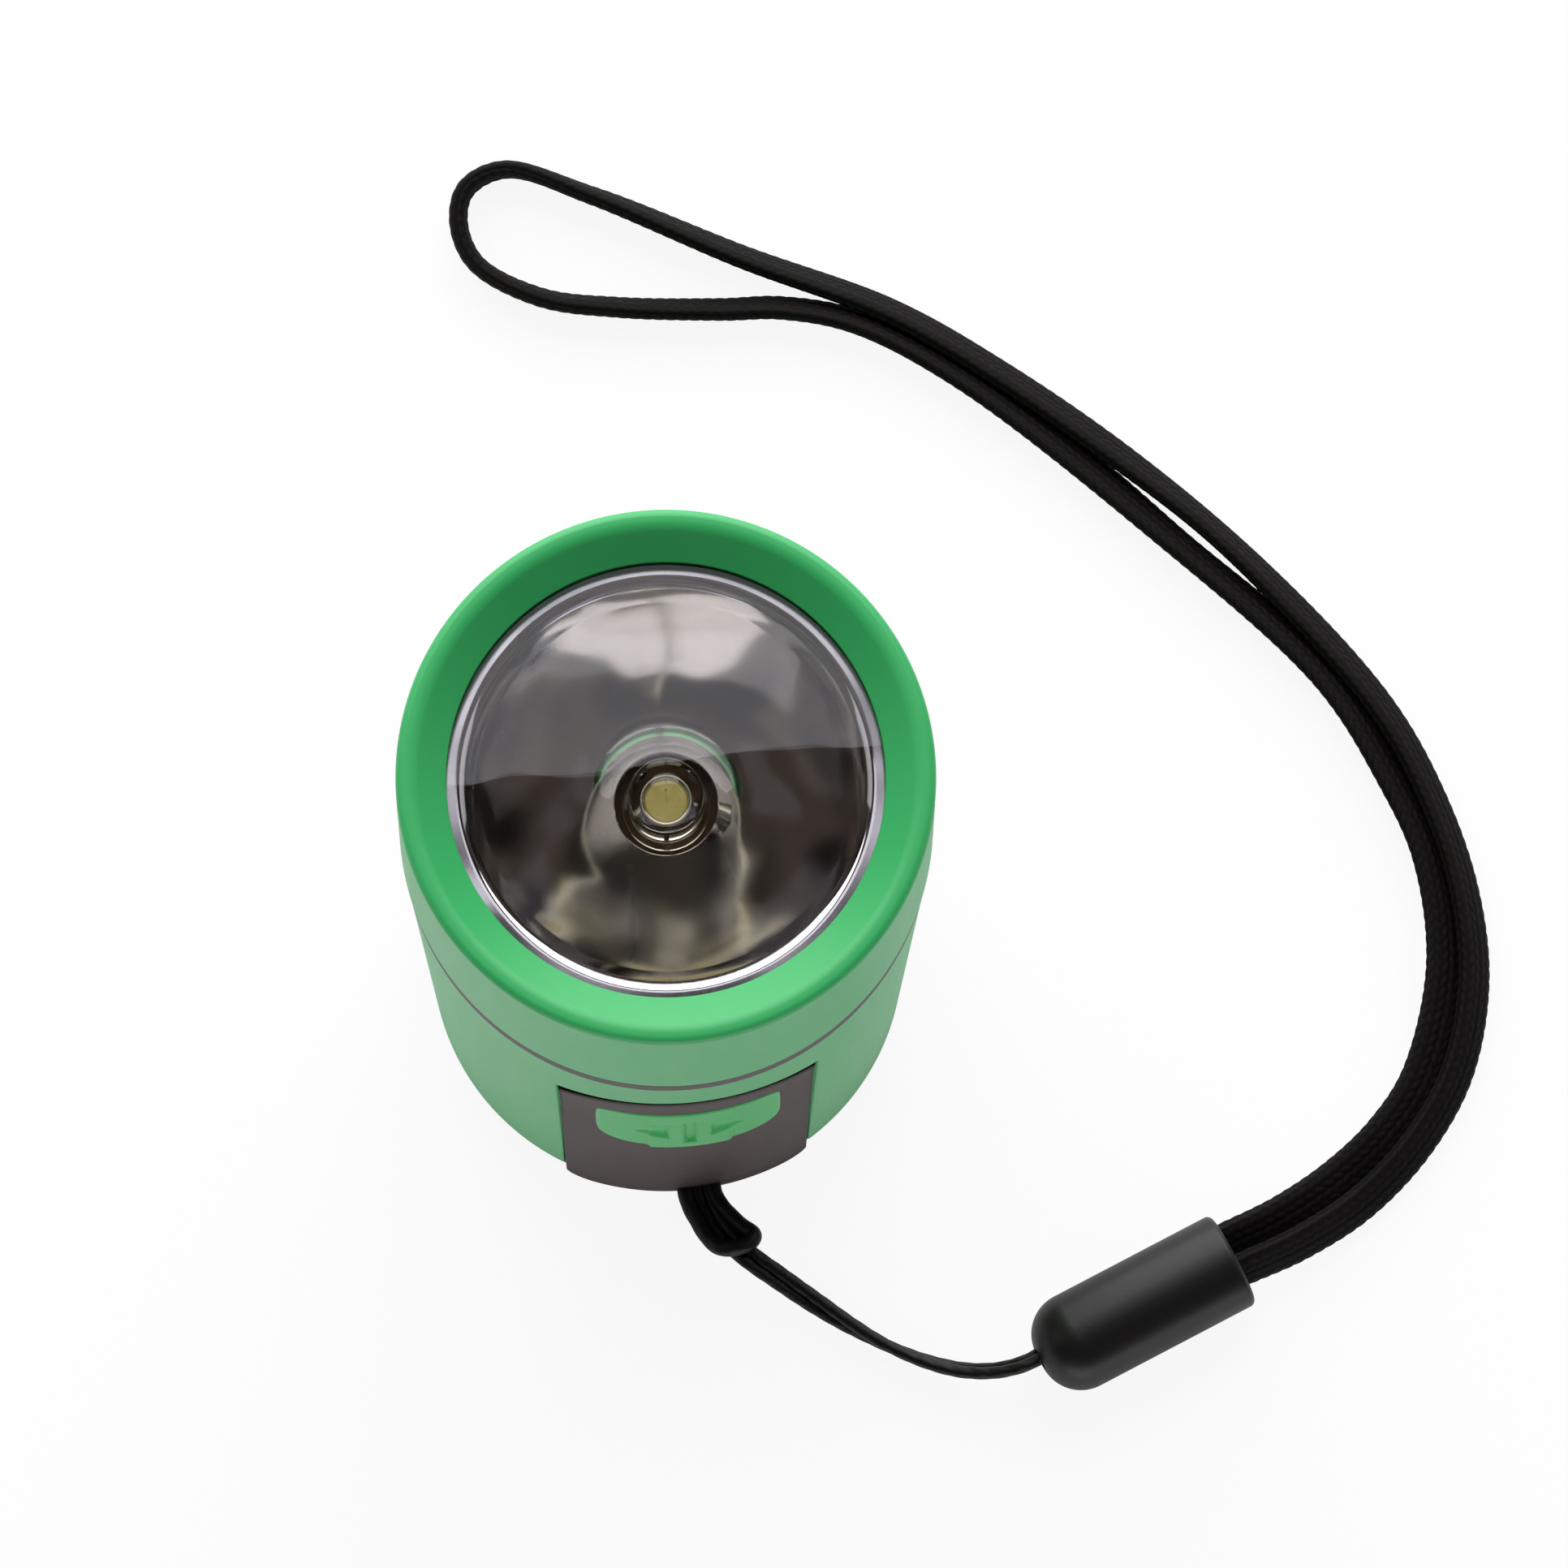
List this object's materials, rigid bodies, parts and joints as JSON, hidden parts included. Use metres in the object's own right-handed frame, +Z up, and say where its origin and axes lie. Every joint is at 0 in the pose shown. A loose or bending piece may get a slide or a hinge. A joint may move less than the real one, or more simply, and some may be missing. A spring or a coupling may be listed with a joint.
{
  "type": "hand-cranked torch",
  "caption": "Small round LED torch with a screw-on bezel, thumb slide, fold-out tail crank driving a geared generator, and a wrist strap.",
  "frame": {"origin": "on the torch axis, at the height of the surface that the tail stands on", "axes": "+Z up along the torch axis towards the lens, switch panel facing -Y, crank arm folded along X"},
  "size_m": [0.0786, 0.0961, 0.0982],
  "materials": {
    "green_plastic": "moulded satin green ABS",
    "grey_plastic": "moulded warm grey ABS",
    "black_plastic": "moulded black plastic, satin",
    "clear_plastic": "clear moulded polycarbonate",
    "led_epoxy": "clear cast epoxy with a yellow phosphor",
    "chromed_plastic": "vacuum-plated ABS, mirror bright",
    "seal_rubber": "black nitrile rubber",
    "lamp_board": "brown paper-phenolic board",
    "main_board": "green solder mask on glass-epoxy board",
    "steel": "plated steel",
    "brass": "turned brass",
    "magnet": "sintered ferrite magnet",
    "copper_winding": "enamelled copper wire winding",
    "acetal": "natural acetal",
    "wire_red": "red PVC insulation",
    "wire_black": "black PVC insulation",
    "strap_cord": "black braided polyester"
  },
  "bodies": {
    "torch": {"body_sleeve": "green_plastic", "bezel_ring": "green_plastic", "core_body": "grey_plastic", "gear_plate": "grey_plastic", "tail_ring": "grey_plastic", "battery_holder": "black_plastic", "capacitor": "black_plastic", "charge_chip": "black_plastic", "strap_bead": "black_plastic", "front_lens": "clear_plastic", "led_lamp": "led_epoxy", "reflector": "chromed_plastic", "head_oring": "seal_rubber", "led_board": "lamp_board", "main_board": "main_board", "anode_lead": "steel", "cathode_lead": "steel", "led_board_screw_1": "steel", "led_board_screw_2": "steel", "switch_body": "steel", "idler_axle": "steel", "generator_can": "steel", "battery_cell_1": "steel", "battery_cell_2": "steel", "battery_cell_3": "steel", "lanyard_pin": "steel", "bush_lower": "brass", "bush_upper": "brass", "battery_contact": "brass", "stator_coil": "copper_winding", "coil_bobbin": "acetal", "lamp_wire_red": "wire_red", "lamp_wire_black": "wire_black", "strap_strand_a": "strap_cord", "strap_strand_b": "strap_cord", "strap_collar": "strap_cord", "strap_band": "strap_cord"},
    "crank": {"crank_disc": "grey_plastic", "drive_gear": "acetal", "drive_screw": "steel", "arm_pin": "steel"},
    "arm": {"crank_arm": "green_plastic", "knob_pin": "steel"},
    "handle": {"crank_knob": "black_plastic"},
    "idler": {"idler_gear": "acetal"},
    "rotor": {"rotor_shaft": "steel", "rotor_pinion": "brass", "rotor_magnet": "magnet"},
    "switch": {"switch_knob": "green_plastic", "switch_carriage": "acetal"}
  },
  "joints": [
    {"name": "switch_slide", "type": "hinge", "parent": "torch", "child": "switch", "pos_m": [0, 0, 0.0443], "axis": [0, 0, 1], "range_deg": [-6, 6]},
    {"name": "crank_spin", "type": "hinge", "parent": "torch", "child": "crank", "pos_m": [0, 0, 0.005], "axis": [0, 0, 1], "continuous": true},
    {"name": "arm_fold", "type": "hinge", "parent": "crank", "child": "arm", "pos_m": [-0.0086, 0, 0.0021], "axis": [0, 1, 0], "range_deg": [0, 135]},
    {"name": "handle_spin", "type": "hinge", "parent": "arm", "child": "handle", "pos_m": [0.0076, 0, 0.0055], "axis": [0, 0, 1], "continuous": true},
    {"name": "idler_spin", "type": "hinge", "parent": "torch", "child": "idler", "pos_m": [0.0075, 0, 0.0135], "axis": [0, 0, 1], "continuous": true},
    {"name": "rotor_spin", "type": "hinge", "parent": "torch", "child": "rotor", "pos_m": [0, 0, 0.025], "axis": [0, 0, 1], "continuous": true}
  ],
  "couplings": [
    {"joint": "idler_spin", "follows": "crank_spin", "ratio": 4},
    {"joint": "rotor_spin", "follows": "crank_spin", "ratio": -13.143}
  ]
}
